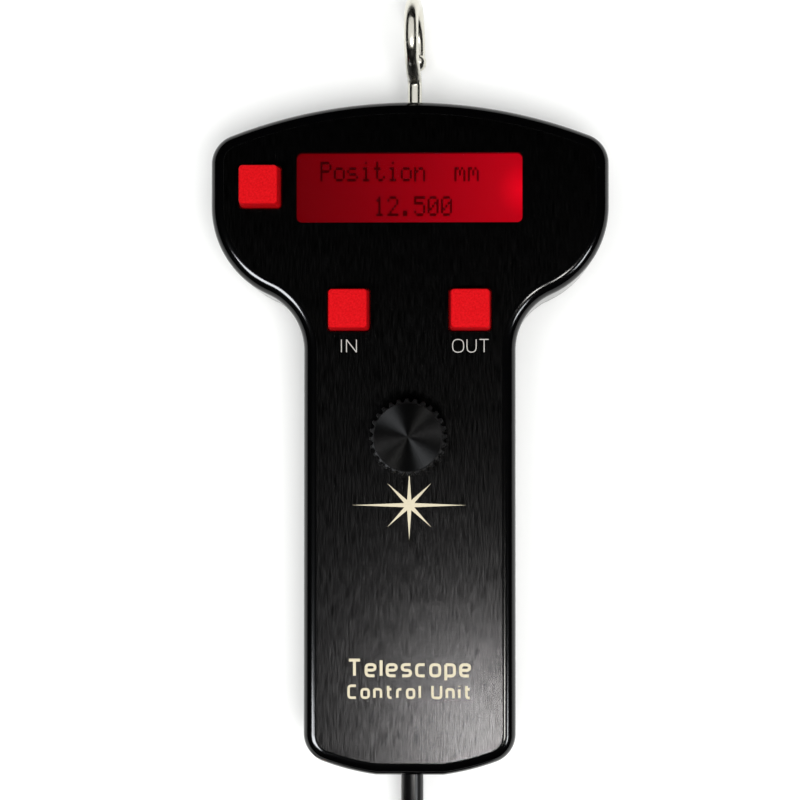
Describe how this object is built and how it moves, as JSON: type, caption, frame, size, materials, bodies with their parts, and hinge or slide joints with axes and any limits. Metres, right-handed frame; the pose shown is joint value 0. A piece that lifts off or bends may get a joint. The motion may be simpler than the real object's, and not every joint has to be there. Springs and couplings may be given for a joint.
{
  "type": "hand controller",
  "caption": "Hand controller with a T-shaped metal case, lit display, push keys, a turning knob, a hanging hook and a coiled cord.",
  "frame": {"origin": "on the flat back face, under the axis of the knob", "axes": "+X to the right of the face, +Y up the face to the hanging hook, +Z out of the face"},
  "size_m": [0.0886, 0.2933, 0.03],
  "materials": {
    "case_anodised": "black anodised, brushed face and satin rim",
    "knob_anodised": "black anodised, turned",
    "key_red": "fine textured moulding",
    "window": "clear pane over a red display",
    "lcd": "red backlit character display",
    "backlight": "diffuser block",
    "board": "solder mask",
    "dark_plastic": "moulded",
    "pale_plastic": "moulded",
    "brass": "machined",
    "steel": "plated",
    "black_screws": "black oxide",
    "hook_plated": "bright nickel plated wire",
    "cord_jacket": "smooth PVC jacket",
    "rubber": "moulded rubber",
    "tie": "hook-and-loop strap",
    "plug_clear": "clear polycarbonate"
  },
  "bodies": {
    "case": {"back_cover": "case_anodised", "back_screw_1": "black_screws", "back_screw_2": "black_screws", "back_screw_3": "black_screws", "back_screw_4": "black_screws", "back_screw_5": "black_screws", "back_screw_6": "black_screws", "board_screw_1": "steel", "board_screw_2": "steel", "board_screw_3": "steel", "board_screw_4": "steel", "cable_clamp": "dark_plastic", "cable_grommet": "rubber", "cable_header": "pale_plastic", "cable_housing": "pale_plastic", "clamp_screw_1": "steel", "clamp_screw_2": "steel", "controller_chip": "dark_plastic", "cord_coil": "cord_jacket", "cord_lead": "cord_jacket", "cord_tail": "cord_jacket", "cord_tie": "tie", "display_window": "window", "encoder_body": "dark_plastic", "encoder_bush": "brass", "encoder_nut": "steel", "encoder_washer": "steel", "front_shell": "case_anodised", "hook": "hook_plated", "hook_nut": "hook_plated", "in_switch": "dark_plastic", "inner_cable": "cord_jacket", "lcd_backlight": "backlight", "lcd_glass": "lcd", "lcd_pin_strip": "dark_plastic", "main_board": "board", "menu_switch": "dark_plastic", "out_switch": "dark_plastic", "plug_body": "plug_clear", "plug_boot": "cord_jacket", "voltage_regulator": "dark_plastic"},
    "rotor": {"encoder_rotor": "pale_plastic"},
    "knob": {"knob": "knob_anodised", "knob_set_screw": "steel", "encoder_shaft": "steel"},
    "menu_key": {"menu_button": "key_red", "menu_plunger": "pale_plastic"},
    "in_key": {"in_button": "key_red", "in_plunger": "pale_plastic"},
    "out_key": {"out_button": "key_red", "out_plunger": "pale_plastic"}
  },
  "joints": [
    {"name": "knob_spin", "type": "hinge", "parent": "case", "child": "rotor", "pos_m": [0, 0, 0.0144], "axis": [0, 0, 1], "continuous": true},
    {"name": "knob_press", "type": "slide", "parent": "rotor", "child": "knob", "axis": [0, 0, 1], "range_m": [-0.0005, 0], "stiffness_N_per_m": 3000, "springref_m": 0.001},
    {"name": "menu_key_press", "type": "slide", "parent": "case", "child": "menu_key", "axis": [0, 0, 1], "range_m": [-0.0003, 0], "stiffness_N_per_m": 1500, "springref_m": 0.0007},
    {"name": "in_key_press", "type": "slide", "parent": "case", "child": "in_key", "axis": [0, 0, 1], "range_m": [-0.0003, 0], "stiffness_N_per_m": 1500, "springref_m": 0.0007},
    {"name": "out_key_press", "type": "slide", "parent": "case", "child": "out_key", "axis": [0, 0, 1], "range_m": [-0.0003, 0], "stiffness_N_per_m": 1500, "springref_m": 0.0007}
  ]
}
